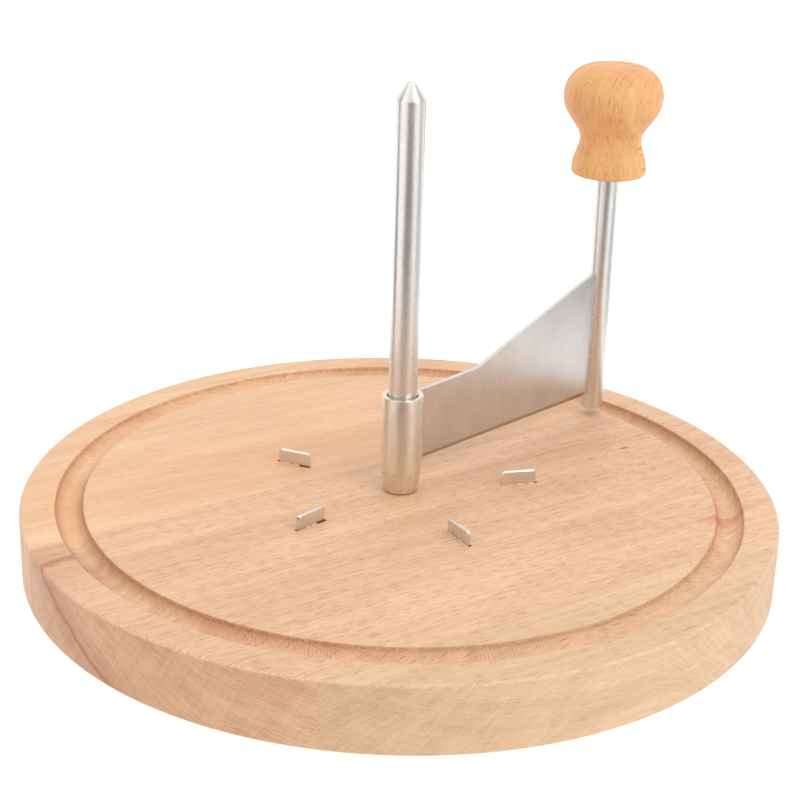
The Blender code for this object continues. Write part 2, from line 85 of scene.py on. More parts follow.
BOARD_BOTTOM, BOARD_TOP = span("board_stave_middle", 2)
BOARD_RADIUS = cad_high.x
SPINDLE_SEAT, SPINDLE_TIP = span("spindle", 2)
SPINDLE_RADIUS = span("spindle", 0)[1]
HUB_BOTTOM, HUB_TOP = span("hub_sleeve", 2)
HUB_RADIUS = span("hub_sleeve", 0)[1]
ROD_AXIS = centre("crank_rod").xy
ROD_RADIUS = radius_of("crank_rod")
ROD_BOTTOM, ROD_TOP = span("crank_rod", 2)
ROD_CIRCLE = ROD_AXIS.length
BLADE_AZIMUTH = atan2(ROD_AXIS.y, ROD_AXIS.x)
BLADE_BOTTOM, BLADE_TOP = span("blade", 2)
KNOB_BOTTOM, KNOB_TOP = span("knob", 2)
KNOB_RADIUS = radius_of("knob")

# Shapes inside those boxes, the same as in the CAD model
BOARD_EDGE = 1.0 * MM
GROOVE_RADIUS = 96.0 * MM
GROOVE_WIDTH = 8.0 * MM
GROOVE_DEPTH = 3.0 * MM
GROOVE_LIP = 0.35 * MM
GRAIN_AZIMUTH = radians(34.5)
BACK_JOINT = 18.5 * MM
FRONT_JOINT = -79.3 * MM
GLUE_LINE = 0.03 * MM
PRONG_FIRST_AZIMUTH = radians(10.0)
PRONG_TURNS = [radians(turn) for turn in (3.0, 0.0, 4.0, 0.5, 5.0)]
PRONG_CIRCLE = 35.7 * MM
PRONG_WIDTH = 10.5 * MM
PRONG_THICKNESS = 1.0 * MM
PRONG_BEVEL = 0.36 * MM
PRONG_CORNER = 1.1 * MM
GAPING_PRONGS = (2, 3)  # their slots gape beside the plate at the hub's end
GAP_LENGTH = 3.5 * MM
SPINDLE_CONE = 5.0 * MM
SPINDLE_TIP_RADIUS = 0.9 * MM
HUB_NOSE_RADIUS = 4.95 * MM
HUB_NOSE_HEIGHT = 7.0 * MM
HUB_BORE_RADIUS = SPINDLE_RADIUS + 0.25 * MM
BLADE_THICKNESS = 1.5 * MM
BLADE_HUB_TOP = BOARD_TOP + 29.7 * MM
BLADE_KNEE = (31.0 * MM, BOARD_TOP + 30.3 * MM)
BLADE_NOTCH = (1.6 * MM, 2.0 * MM)
BLADE_GRIND = (1.8 * MM, 1.1 * MM)
FOOT_CIRCLE = 80.0 * MM
SCREW_HOLE_RADIUS = 2.8 * MM
WASHER_RECESS = (8.5 * MM, 4.5 * MM)  # radius and depth, as below
FOOT_SCREW_HOLE = (1.7 * MM, 11.0 * MM)
PRONG_DEPTH = 9.3 * MM
GAP_WIDTH = 0.8 * MM
KNOB_CROWN_RADIUS = 7.6 * MM
MERGE = 0.002 * MM


def polar(radius, azimuth):
    return radius * cos(azimuth), radius * sin(azimuth)


PRONGS = []
for prong_index, prong_turn in enumerate(PRONG_TURNS):
    prong_azimuth = PRONG_FIRST_AZIMUTH + tau * prong_index / len(PRONG_TURNS)
    PRONGS.append((*polar(PRONG_CIRCLE, prong_azimuth), prong_azimuth + prong_turn))
FEET = [polar(FOOT_CIRCLE, GRAIN_AZIMUTH + radians(45 + 90 * corner)) for corner in range(4)]


# -------------------- mesh helpers


def rounded(corners, segments=8):
    """The outline through (x, y, radius) corners, each corner with a radius turned into an arc."""
    points = []
    count = len(corners)
    for index, (x, y, radius) in enumerate(corners):
        corner = Vector((x, y))
        if radius == 0.0:
            points.append(corner)
            continue
        before = (Vector(corners[index - 1][:2]) - corner).normalized()
        after = (Vector(corners[(index + 1) % count][:2]) - corner).normalized()
        half = before.angle(after) / 2
        middle = corner + (before + after).normalized() * (radius / sin(half))
        start = corner + before * (radius / tan(half)) - middle
        turn = start.angle_signed(corner + after * (radius / tan(half)) - middle)
        for step in range(segments + 1):
            angle = -turn * step / segments
            cosine, sine = cos(angle), sin(angle)
            offset = Vector((start.x * cosine - start.y * sine, start.x * sine + start.y * cosine))
            points.append(middle + offset)
    return points


def new_object(name, data):
    obj = bpy.data.objects.new(name, data)
    bpy.context.scene.collection.objects.link(obj)
    return obj


def shape_object(name, shape):
    """An object made of a bmesh, which is freed."""
    mesh = bpy.data.meshes.new(name)
    shape.to_mesh(mesh)
    shape.free()
    return new_object(name, mesh)


def grid(name, size):
    """A flat rectangle round the origin."""
    shape = bmesh.new()
    scale = Matrix.Diagonal((*size, 1.0, 1.0))
    bmesh.ops.create_grid(shape, x_segments=1, y_segments=1, size=0.5, matrix=scale)
    return shape_object(name, shape)


def turned(name, outline, steps, closed=False, at=(0.0, 0.0)):
    """A turned piece: its (radius, height) outline runs down the outer side, round a vertical axis."""
    shape = bmesh.new()
    verts = [shape.verts.new((point[0], 0.0, point[1])) for point in outline]
    for first, second in zip(verts, verts[1:]):
        shape.edges.new((first, second))
    if closed:
        shape.edges.new((verts[-1], verts[0]))
    obj = shape_object(name, shape)
    obj.location = (at[0], at[1], 0.0)
    screw = obj.modifiers.new("turn", "SCREW")
    screw.angle = tau
    screw.steps = steps
    screw.render_steps = steps
    screw.use_merge_vertices = True
    screw.merge_threshold = MERGE
    screw.use_normal_calculate = False
    return obj


def block(name, size, location, turn=(0.0, 0.0, 0.0)):
    shape = bmesh.new()
    bmesh.ops.create_cube(shape, size=1.0, matrix=Matrix.Diagonal((*size, 1.0)))
    obj = shape_object(name, shape)
    obj.location = location
    obj.rotation_euler = turn
    return obj


def round_cutter(radius, low, high, at=(0.0, 0.0), steps=48):
    return turned("cutter", [(0, high), (radius, high), (radius, low), (0, low)], steps, at=at)


def cut(obj, cutter, operation="DIFFERENCE"):
    modifier = obj.modifiers.new(operation.lower(), "BOOLEAN")
    modifier.operation = operation
    modifier.solver = "EXACT"
    modifier.object = cutter


def bevel(obj, width, segments=2, angle=30.0):
    modifier = obj.modifiers.new("bevel", "BEVEL")
    modifier.width = width
    modifier.segments = segments
    modifier.limit_method = "ANGLE"
    modifier.angle_limit = radians(angle)


def settle(obj, smooth_angle=35.0):
    """Applies the modifiers and the placing, and shades the piece smooth with its edges kept sharp."""
    bpy.context.view_layer.update()
    evaluated = obj.evaluated_get(bpy.context.evaluated_depsgraph_get())
    mesh = bpy.data.meshes.new_from_object(evaluated)
    obj.modifiers.clear()
    mesh.transform(obj.matrix_world)
    obj.matrix_world = Matrix.Identity(4)
    obj.data = mesh
    mesh.name = obj.name
    mesh.shade_smooth()
    mesh.set_sharp_from_angle(angle=radians(smooth_angle))
    return obj


def discard(objects):
    for obj in objects:
        bpy.data.objects.remove(obj, do_unlink=True)


def piece(obj, body, finish, slot, *replaced):
    obj.data.materials.clear()
    obj.data.materials.append(finish)
    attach(obj, body)
    if replaced:
        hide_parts(*replaced)
    return obj


# -------------------- shader helpers


class Nodes:
    """A short way to write a node tree. A method's inputs are sockets or plain values."""

    def __init__(self, tree):
        self.tree = tree

    def node(self, kind, values, **settings):
        made = self.tree.nodes.new(kind)
        for key, value in settings.items():
            setattr(made, key, value)
        for key, value in values.items():
            self.put(made.inputs[key], value)
        return made

    def put(self, socket, value):
        if isinstance(value, bpy.types.NodeSocket):
            self.tree.links.new(value, socket)
        else:
            socket.default_value = value

    def vector(self, operation, first, second):
        made = self.node("ShaderNodeVectorMath", {0: first, 1: second}, operation=operation)
        return made.outputs["Value" if operation in ("LENGTH", "DOT_PRODUCT") else "Vector"]

    def rotated(self, point, euler):
        values = {"Vector": point, "Rotation": euler}
        return self.node("ShaderNodeVectorRotate", values, rotation_type="EULER_XYZ").outputs["Vector"]

    def split(self, point):
        made = self.node("ShaderNodeSeparateXYZ", {0: point})
        return made.outputs[0], made.outputs[1], made.outputs[2]

    def join(self, x, y, z):
        return self.node("ShaderNodeCombineXYZ", {0: x, 1: y, 2: z}).outputs[0]

    def math(self, operation, first, second=0.0, third=0.0):
        values = {0: first, 1: second, 2: third}
        return self.node("ShaderNodeMath", values, operation=operation).outputs[0]

    def times(self, first, second):
        return self.math("MULTIPLY", first, second)

    def scaled(self, value, factor, offset):
        """value * factor + offset"""
        return self.math("MULTIPLY_ADD", value, factor, offset)

    def apart(self, first, second):
        """How far two values are apart."""
        return self.math("ABSOLUTE", self.math("SUBTRACT", first, second))

    def length(self, point):
        return self.vector("LENGTH", point, (0.0, 0.0, 0.0))

    def noise(self, point, scale=1.0, detail=2.0, roughness=0.5):
        values = {"Vector": point, "Scale": scale, "Detail": detail, "Roughness": roughness}
        return self.node("ShaderNodeTexNoise", values).outputs["Fac"]

    def range(self, value, low, high, new_low=0.0, new_high=1.0, kind="SMOOTHSTEP"):
        values = {"Value": value, "From Min": low, "From Max": high, "To Min": new_low, "To Max": new_high}
        return self.node("ShaderNodeMapRange", values, interpolation_type=kind).outputs[0]

    def mix(self, factor, first, second, blend="MIX"):
        made = self.node("ShaderNodeMix", {}, data_type="RGBA", blend_type=blend)
        for name, value in (("Factor_Float", factor), ("A_Color", first), ("B_Color", second)):
            socket = next(s for s in made.inputs if s.identifier == name)
            if isinstance(value, tuple) and len(value) == 3:
                value = (*value, 1.0)
            self.put(socket, value)
        return next(s for s in made.outputs if s.identifier == "Result_Color")

    def bump(self, height, distance, strength=1.0, normal=None):
        values = {"Height": height, "Distance": distance, "Strength": strength}
        if normal is not None:
            values["Normal"] = normal
        return self.node("ShaderNodeBump", values).outputs["Normal"]


class Shader(Nodes):
    """A material's nodes round its Principled shader."""

    def __init__(self, name):
        self.material = bpy.data.materials.new(name)
        self.material.use_nodes = True
        super().__init__(self.material.node_tree)
        self.surface = self.tree.nodes["Principled BSDF"]

    def set(self, **values):
        """Puts values into the shader's sockets; an underscore stands for a space."""
        for key, value in values.items():
            self.put(self.surface.inputs[key.replace("_", " ")], value)

    def cover(self, shade, roughness, relief, bump, **others):
        """Gives the surface its colour, roughness and relief, and returns the material."""
        self.set(Base_Color=shade, Roughness=roughness, Normal=self.bump(relief, bump), **others)
        return self.material

    def object_mm(self):
        """The surface point in the piece's own frame, in millimetres."""
        coordinates = self.node("ShaderNodeTexCoord", {}).outputs["Object"]
        return self.vector("MULTIPLY", coordinates, (1000.0, 1000.0, 1000.0))

    def normal(self):
        return self.node("ShaderNodeTexCoord", {}).outputs["Normal"]


# -------------------- wood


class Beech(Shader):
    """Beech cut from a log whose grain runs along local x. Growth rings lie round the pith, and the
    rays cross them: short dark dashes along the grain on the faces, fine radial lines on end grain.
    The pith's place (across, up) is measured in the grain's frame, in millimetres."""

    def __init__(self, name, light, dark, euler, origin_mm, pith_mm, seed):
        super().__init__(name)
        self.euler = euler
        self.point = self.object_mm()
        self.grain = self.rotated(self.vector("SUBTRACT", self.point, origin_mm), euler)
        self.along, self.across, self.up = self.split(self.grain)
        drift = self.noise(self.vector("MULTIPLY", self.grain, (0.007, 0.03, 0.03)), 1.0, 1.0)
        wander = self.scaled(drift, 7.0, -3.5)
        off_pith = self.math("ADD", self.math("SUBTRACT", self.across, pith_mm[0]), wander)
        over_pith = self.apart(self.up, pith_mm[1])
        radius = self.length(self.join(0.0, off_pith, over_pith))
        angle = self.math("ARCTAN2", off_pith, over_pith)
        around = self.times(angle, RAY_CIRCLE_MM)
        self.log = self.join(self.math("ADD", self.along, seed), around, radius)
        self.colour = None
        self.tone_of(light, dark)

    def stretched(self, along_mm, around_mm, outwards_mm):
        """The log's own coordinates in units of these lengths."""
        return self.vector("DIVIDE", self.log, (along_mm, around_mm, outwards_mm))

    def layer(self, along_mm, around_mm, outwards_mm, detail=2.0, contrast=0.16):
        """Noise of that size, spread to run from about 0 to 1."""
        noise_value = self.noise(self.stretched(along_mm, around_mm, outwards_mm), 1.0, detail, 0.6)
        return self.range(noise_value, 0.5 - contrast, 0.5 + contrast)

    def tone_of(self, light, dark):
        """Clouds, growth rings, fine lines and grit, mixed between the two colours."""
        layers = (
            (self.layer(80.0, 9.0, 22.0), 0.24),
            (self.layer(240.0, 90.0, 2.3), 0.17),
            (self.layer(45.0, 2.2, 9.0), 0.14),
            (self.layer(7.0, 0.26, 14.0), 0.22),
            (self.layer(60.0, 14.0, 0.42), 0.15),
            (self.range(self.noise(self.point, 1.5, 2.0, 0.7), 0.32, 0.68), 0.14),
        )
        tone = 0.0
        for value, share in layers:
            tone = self.scaled(value, share, tone)
        self.fibres = layers[3][0]
        self.colour = self.mix(tone, light, dark)
        self.relief = self.times(self.fibres, 0.5)
        self.gloss = self.scaled(self.fibres, 0.14, 0.42)

    def flat(self):
        """1 on the level faces, 0 on the sides."""
        upright = self.split(self.normal())[2]
        return self.math("GREATER_THAN", self.math("ABSOLUTE", upright), 0.55)

    def on_face(self, along_mm, across_mm):
        """The grain's frame laid flat on the top or the side, in units of these lengths."""
        flat = self.flat()
        across = self.scaled(self.math("SUBTRACT", self.across, self.up), flat, self.up)
        return self.vector("DIVIDE", self.join(self.along, across, flat), (along_mm, across_mm, 1.0))

    def dashes(self, place, half_length, half_width, share, colour, strength):
        """The rays' ends: a thin lens in a share of the unit cells round that place."""
        cells = self.node("ShaderNodeTexVoronoi", {"Vector": place, "Scale": 1.0})
        offset = self.vector("SUBTRACT", place, cells.outputs["Position"])
        offset = self.vector("DIVIDE", offset, (half_length, half_width, 1.0))
        offset = self.vector("MULTIPLY", offset, (1.0, 1.0, 0.0))
        reach = self.length(offset)
        chance = self.node("ShaderNodeSeparateColor", {0: cells.outputs["Color"]})
        shown = self.range(chance.outputs[0], 1.0 - share, 1.0 - share + 0.25)
        mask = self.times(self.range(reach, 0.55, 1.0, 1.0, 0.0), shown)
        self.colour = self.mix(self.times(mask, strength), self.colour, colour)
        self.relief = self.scaled(mask, -0.6, self.relief)

    def darken_end_grain(self, amount, colour=(0.76, 0.64, 0.56)):
        """Cut across, the wood drinks more oil and is darker."""
        end = self.end_grain()
        self.tint(end, colour, amount)
        return end

    def end_grain(self):
        """1 where the face cuts across the grain."""
        direction = Vector((1.0, 0.0, 0.0))
        direction.rotate(Euler(self.euler).to_matrix().inverted())
        facing = self.vector("DOT_PRODUCT", self.normal(), tuple(direction))
        return self.range(self.math("ABSOLUTE", facing), 0.2, 0.95)

    def flecks(self, long_mm, row_mm, share, strength):
        """Dashes along the grain on the board's faces, and ray lines on its end grain."""
        end = self.end_grain()
        along_grain = self.scaled(end, -strength, strength)
        on_sides = self.scaled(self.flat(), 0.5, 0.5)
        along_grain = self.times(along_grain, on_sides)
        self.dashes(self.on_face(long_mm, row_mm), 0.34, 0.12, share, DASH_COLOUR, along_grain)
        faint = self.times(along_grain, 0.5)
        self.dashes(self.on_face(long_mm * 0.45, row_mm * 0.6), 0.34, 0.14, 0.25, DASH_COLOUR, faint)
        on_end = self.times(end, 0.34)
        self.dashes(self.stretched(6.0, 0.6, 14.0), 0.5, 0.2, 0.7, DASH_COLOUR, on_end)

    def tint(self, mask, colour, amount):
        """Stains the wood with a colour where the mask is 1."""
        stained = self.mix(1.0, self.colour, colour, "MULTIPLY")
        self.colour = self.mix(self.times(mask, amount), self.colour, stained)

    def finish(self, bump=0.00005):
        oil = {"Specular_IOR_Level": 0.3, "Coat_Weight": 0.04, "Coat_Roughness": 0.45}
        return self.cover(self.colour, self.gloss, self.relief, bump, **oil)


BOARD_EULER = (0.0, 0.0, -GRAIN_AZIMUTH)
RAY_CIRCLE_MM = 90.0  # the rays' spacings are given at this distance from the pith
CHATTER_MM = 0.95
DASH_COLOUR = (0.44, 0.16, 0.055)


def board_marks_and_painted_light(wood):
    """Marks on the turned board: a slightly darker, rippled groove with painted shade along its lips, and a
    painted highlight along the rim's arris.
    """
    end = wood.darken_end_grain(0.5)
    x, y, z = wood.split(wood.point)
    radius = wood.length(wood.join(x, y, 0.0))
    middle = GROOVE_RADIUS / MM
    half = GROOVE_WIDTH / 2 / MM
    off_middle = wood.apart(radius, middle)
    inside = wood.range(off_middle, half - 0.3, half + 0.05, 1.0, 0.0)
    below = wood.range(z, BOARD_TOP / MM - 0.4, BOARD_TOP / MM - 0.05, 1.0, 0.0)
    groove_floor = (BOARD_TOP - GROOVE_DEPTH) / MM
    below = wood.times(below, wood.range(z, groove_floor - 0.6, groove_floor - 0.2))
    groove = wood.times(inside, below)
    # slightly darker inside the groove, and more where it cuts the end grain
    wood.tint(groove, (0.99, 0.97, 0.94), 1.0)
    wood.tint(wood.times(groove, end), (0.96, 0.88, 0.84), 0.6)
    # chatter: fine curved ripples across the groove, here and there
    angle = wood.math("ARCTAN2", y, x)
    turned_by = wood.times(angle, middle / CHATTER_MM * tau)
    wobble = wood.times(wood.noise(wood.point, 0.25, 2.0), 9.0)
    bowed = wood.times(wood.math("POWER", off_middle, 2.0), 0.16)
    ripple = wood.math("SINE", wood.math("ADD", wood.math("ADD", turned_by, wobble), bowed))
    ripple = wood.range(ripple, 0.1, 1.0)
    broken = wood.range(wood.noise(wood.point, 0.11, 2.0), 0.38, 0.6)
    chatter = wood.times(wood.times(ripple, broken), groove)
    wood.tint(chatter, (0.84, 0.70, 0.60), 0.6)
    wood.relief = wood.scaled(chatter, -0.6, wood.relief)
    # the groove's lips are ragged, and painted shade darkens the groove just inside them
    off_lip = wood.apart(off_middle, half - 0.25)
    lip = wood.range(off_lip, 0.1, 0.55, 1.0, 0.0)
    ragged = wood.range(wood.noise(wood.stretched(1.6, 0.4, 0.5), 1.0, 2.0), 0.35, 0.62)
    lip = wood.times(wood.times(lip, ragged), below)
    wood.tint(lip, (0.78, 0.56, 0.43), 0.7)
    # a painted highlight along the rim's arris, broken up by the ragged pattern
    rim = wood.range(radius, BOARD_RADIUS / MM - 0.9, BOARD_RADIUS / MM - 0.3)
    top = wood.range(z, BOARD_TOP / MM - 1.1, BOARD_TOP / MM - 0.5)
    arris = wood.times(wood.times(rim, top), ragged)
    wood.colour = wood.mix(wood.times(arris, 0.45), wood.colour, (0.93, 0.72, 0.53))


def spot(wood, place_mm, size_mm, softness):
    """1 inside an ellipsoid at a place in the grain's frame, and 0 well outside it."""
    offset = wood.vector("DIVIDE", wood.vector("SUBTRACT", wood.grain, place_mm), size_mm)
    distance = wood.length(offset)
    return wood.range(distance, 1.0 - softness, 1.0 + softness, 1.0, 0.0)


def board_beech(name, light, dark, pith_mm, seed):
    pith = (pith_mm[0], pith_mm[1] + BOARD_TOP / MM)
    return Beech(name, light, dark, BOARD_EULER, (0.0, 0.0, 0.0), pith, seed)


def beech_back():
    wood = board_beech("beech_back", (0.85, 0.57, 0.355), (0.66, 0.375, 0.21), (35.0, -120.0), 300.0)
    wood.flecks(3.6, 1.2, 0.45, 0.26)
    board_marks_and_painted_light(wood)
    wood.tint(spot(wood, (-40.0, 40.0, 15.0), (50.0, 16.0, 40.0), 0.7), (0.97, 0.86, 0.76), 0.55)
    return wood.finish()


def beech_middle():
    wood = board_beech("beech_middle", (0.82, 0.55, 0.355), (0.59, 0.335, 0.195), (52.0, 38.0), 100.0)
    wood.flecks(6.4, 1.15, 0.75, 0.66)
    board_marks_and_painted_light(wood)
    # the dark heart streak that slants down the left end
    slope = wood.scaled(wood.across, 0.56, BOARD_TOP / MM - 4.6)
    warp = wood.scaled(wood.noise(wood.grain, 0.14, 2.0), 3.0, -1.5)
    off_streak = wood.math("ADD", wood.math("SUBTRACT", wood.up, slope), warp)
    left_end = wood.range(wood.along, -100.0, -88.0, 1.0, 0.0)
    for low, high, colour, amount in (
        (0.2, 1.3, (0.70, 0.50, 0.46), 0.75),
        (0.5, 9.0, (0.84, 0.74, 0.74), 0.8),
    ):
        near = wood.range(wood.math("ABSOLUTE", off_streak), low, high, 1.0, 0.0)
        wood.tint(wood.times(near, left_end), colour, amount)
    # a pin knot, and a reddish mark in the groove
    wood.tint(spot(wood, (77.4, -10.7, 23.0), (1.5, 0.7, 6.0), 0.5), (0.5, 0.32, 0.22), 0.8)
    wood.tint(spot(wood, (70.1, -62.6, 21.0), (9.0, 2.0, 6.0), 0.5), (0.86, 0.60, 0.54), 0.8)
    return wood.finish()


def beech_front():
    wood = board_beech("beech_front", (0.81, 0.565, 0.365), (0.60, 0.375, 0.215), (-112.0, 27.0), 700.0)
    wood.flecks(6.0, 1.6, 0.5, 0.5)
    board_marks_and_painted_light(wood)
    return wood.finish()


def beech_knob():
    """The knob's grain runs up its axis; the pith was off to one side of the blank."""
    origin = (ROD_AXIS.x / MM, ROD_AXIS.y / MM, KNOB_BOTTOM / MM)
    light, dark = (0.92, 0.53, 0.22), (0.68, 0.34, 0.125)
    upwards = (0.0, pi / 2, 0.0)
    wood = Beech("beech_knob", light, dark, upwards, origin, (23.0, -24.0), 40.0)
    sway = wood.times(wood.noise(wood.point, 0.22, 2.0), 1.3)
    bent = wood.join(0.0, sway, 0.0)
    place = wood.vector("ADD", wood.stretched(5.5, 2.6, 9.0), bent)
    wood.dashes(place, 0.36, 0.05, 0.62, (0.30, 0.09, 0.02), 0.8)
    wood.dashes(wood.stretched(2.4, 1.5, 5.0), 0.32, 0.06, 0.4, (0.42, 0.15, 0.04), 0.6)
    wood.darken_end_grain(0.35, (0.92, 0.86, 0.86))
    pink = wood.range(wood.noise(wood.point, 0.05, 2.0), 0.42, 0.6)
    wood.tint(pink, (1.0, 0.90, 1.0), 0.8)
    # faint rings that the lathe left
    height = wood.times(wood.along, 1.7)
    rings = wood.noise(wood.join(0.0, 0.0, height), 1.0, 3.0, 0.7)
    wood.tint(wood.range(rings, 0.45, 0.62), (0.90, 0.86, 0.82), 0.35)
    wood.relief = wood.scaled(rings, 0.35, wood.relief)
    return wood.finish(0.00004)


# -------------------- metal and the other materials


def grained(shader, direction, amount):
    """Stretches the highlights along a direction that is given in the piece's own frame."""
    axis = shader.join(*direction)
    values = {"Vector": axis}
    world = shader.node("ShaderNodeVectorTransform", values, convert_from="OBJECT", convert_to="WORLD")
    shader.set(Tangent=world.outputs[0], Anisotropic=amount)


def sheet_steel(name, colour, roughness, euler, grain_mm, spread=0.12, bump=0.000004):
    """Metal whose fine scratches have that size along the axes of the turned frame."""
    shader = Shader(name)
    point = shader.object_mm()
    lined = shader.rotated(point, euler)
    scratches = shader.noise(shader.vector("DIVIDE", lined, grain_mm), 1.0, 3.0, 0.7)
    smears = shader.noise(point, 0.12, 3.0, 0.55)
    specks = shader.range(shader.noise(point, 2.2, 2.0, 0.6), 0.64, 0.74)
    tone = shader.scaled(scratches, 0.6, shader.times(smears, 0.4))
    dark = tuple(value * 0.86 for value in colour)
    shade = shader.mix(shader.range(tone, 0.36, 0.64), dark, colour)
    shade = shader.mix(shader.times(specks, 0.12), shade, (0.35, 0.33, 0.31))
    rough = shader.scaled(scratches, spread, roughness - spread / 2)
    rough = shader.scaled(smears, 0.08, shader.math("SUBTRACT", rough, 0.04))
    shader.cover(shade, rough, scratches, bump, Metallic=1.0)
    return shader


def turned_steel(name, colour, roughness, axis, anisotropy=0.8, flecks=0.5):
    """Ground bar: very fine scratches round the axis, which draw the reflections out along it."""
    shader = Shader(name)
    point = shader.object_mm()
    x, y, z = shader.split(point)
    dx = shader.math("SUBTRACT", x, axis[0] / MM)
    dy = shader.math("SUBTRACT", y, axis[1] / MM)
    around = shader.vector("MULTIPLY", shader.join(dx, dy, z), (0.35, 0.35, 1.0))
    rings = shader.noise(around, 2.4, 2.0, 0.7)
    grit = shader.noise(point, 3.2, 2.0, 0.7)
    smears = shader.noise(shader.join(dx, dy, shader.times(z, 0.25)), 0.3, 3.0, 0.6)
    tone = shader.scaled(rings, 0.25, shader.times(grit, flecks))
    tone = shader.scaled(smears, 0.75 - flecks, tone)
    dark = tuple(value * 0.80 for value in colour)
    shade = shader.mix(shader.range(tone, 0.36, 0.62), dark, colour)
    rough = shader.scaled(rings, 0.08, roughness - 0.08)
    rough = shader.scaled(smears, 0.08, rough)
    grained(shader, (0.0, 0.0, 1.0), anisotropy)
    return shader.cover(shade, rough, shader.math("ADD", rings, grit), 0.000003, Metallic=1.0)


def blade_painted_shade(shader):
    """Painted shade on the blade: its down-facing ground edge is darkened as a painted reflection of the
    shaded board below it, and painted shade darkens it along its joint with the hub.
    """
    x, y, z = shader.split(shader.object_mm())
    out = shader.length(shader.join(x, y, 0.0))
    # painted reflection of the shaded board: the faces that look down are darkened
    ground = shader.range(shader.split(shader.normal())[2], -0.4, -0.2, 1.0, 0.0)
    # painted shade in the crease where the blade meets the hub
    joint = shader.range(out, HUB_RADIUS / MM + 0.35, HUB_RADIUS / MM + 0.6, 1.0, 0.0)
    shade = shader.surface.inputs["Base Color"].links[0].from_socket
    shade = shader.mix(shader.times(ground, 0.7), shade, (0.30, 0.235, 0.18))
    shader.set(Base_Color=shader.mix(shader.times(joint, 0.6), shade, (0.22, 0.20, 0.18)))


def moulded(name, light, dark, roughness, bump):
    """Rubber or nylon: mottled, with a fine moulded grain."""
    shader = Shader(name)
    point = shader.object_mm()
    mottle = shader.noise(point, 0.35, 3.0)
    grain = shader.noise(point, 5.0, 2.0, 0.7)
    shade = shader.mix(shader.range(mottle, 0.3, 0.7), light, dark)
    return shader.cover(shade, shader.scaled(grain, 0.2, roughness - 0.1), grain, bump)


def weld_metal():
    shader = Shader("weld_metal")
    point = shader.object_mm()
    beads = shader.noise(point, 1.6, 3.0, 0.7)
    shade = shader.mix(shader.range(beads, 0.35, 0.65), (0.50, 0.46, 0.42), (0.92, 0.90, 0.87))
    return shader.cover(shade, shader.scaled(beads, 0.3, 0.25), beads, 0.00012, Metallic=1.0)


def torn_wood():
    shader = Shader("torn_wood")
    point = shader.rotated(shader.object_mm(), BOARD_EULER)
    fibres = shader.noise(shader.vector("DIVIDE", point, (3.0, 0.2, 0.2)), 1.0, 3.0, 0.6)
    shade = shader.mix(fibres, (0.92, 0.74, 0.55), (0.80, 0.56, 0.38))
    return shader.cover(shade, shader.scaled(fibres, 0.2, 0.55), fibres, 0.0001)


# -------------------- the board


def board_outline():
    """Half section of the board, with rounded lips on the groove and a rounded rim."""
    arc_radius = ((GROOVE_WIDTH / 2) ** 2 + GROOVE_DEPTH**2) / (2 * GROOVE_DEPTH)
    spread = asin(GROOVE_WIDTH / 2 / arc_radius)
    lip = GROOVE_LIP * tan(spread / 2)
    inner = GROOVE_RADIUS - GROOVE_WIDTH / 2
    outer = GROOVE_RADIUS + GROOVE_WIDTH / 2
    outline = [Vector((radius, BOARD_TOP)) for radius in (0, inner * 0.5, inner - 4 * lip)]
    slope = tan(spread)
    entry = (inner, BOARD_TOP, GROOVE_LIP)
    first_wall = (inner + 2 * lip, BOARD_TOP - 2 * lip * slope, 0.0)
    outline += rounded([(0, BOARD_TOP, 0.0), entry, first_wall], 3)[1:-1]
    floor_arc = arc_radius - 0.02 * MM
    floor_spread = spread * 0.93
    floor_steps = 16
    arc_middle = BOARD_TOP - GROOVE_DEPTH + floor_arc
    for step in range(1, floor_steps):
        angle = -floor_spread + 2 * floor_spread * step / floor_steps
        radius = GROOVE_RADIUS + floor_arc * sin(angle)
        outline.append(Vector((radius, arc_middle - floor_arc * cos(angle))))
    last_wall = (outer - 2 * lip, BOARD_TOP - 2 * lip * slope, 0.0)
    outline += rounded([last_wall, (outer, BOARD_TOP, GROOVE_LIP), (BOARD_RADIUS, BOARD_TOP, 0.0)], 3)[1:-1]
    rim = [
        (outer, BOARD_TOP, 0.0),
        (BOARD_RADIUS, BOARD_TOP, BOARD_EDGE),
        (BOARD_RADIUS, BOARD_BOTTOM, BOARD_EDGE),
        (0, BOARD_BOTTOM, 0.0),
    ]
    return outline + rounded(rim, 4)[1:]


def board_hollows():
    """Cutters for everything let into the board; some prong slots are torn wider at one end."""
    above = BOARD_TOP + 5 * MM
    below = BOARD_BOTTOM - 5 * MM
    hollows = [
        round_cutter(SPINDLE_RADIUS + 0.08 * MM, SPINDLE_SEAT - 0.3 * MM, above, steps=96),
        round_cutter(SCREW_HOLE_RADIUS, below, SPINDLE_SEAT, steps=32),
        round_cutter(WASHER_RECESS[0], below, BOARD_BOTTOM + WASHER_RECESS[1], steps=96),
    ]
    depth = PRONG_DEPTH + above - BOARD_TOP
    for index, (x, y, azimuth) in enumerate(PRONGS):
        place = upright(x, y, azimuth)
        slot = plate("cutter", slot_outline(depth, above), PRONG_THICKNESS + 0.1 * MM, place)
        hollows.append(slot)
        if index in GAPING_PRONGS:
            along, aside = (GAP_LENGTH - PRONG_WIDTH) / 2 - 0.05 * MM, PRONG_THICKNESS / 2 + 0.3 * MM
            gap = place @ Vector((along, above - depth / 2, front_side(place) * aside))
            size = (GAP_LENGTH + 0.1 * MM, GAP_WIDTH, depth)
            hollows.append(block("cutter", size, gap, (0, 0, azimuth)))
    hole, hole_depth = FOOT_SCREW_HOLE
    for x, y in FEET:
        hollows.append(round_cutter(hole, below, BOARD_BOTTOM + hole_depth, (x, y), 24))
    return hollows


def slot_outline(depth, above):
    """The slots are a little longer than the prongs, mostly at the outer end."""
    low = above - depth
    inner, outer = -PRONG_WIDTH / 2 - 0.1 * MM, PRONG_WIDTH / 2 + 0.5 * MM
    return [(inner, low), (outer, low), (outer, above), (inner, above)]


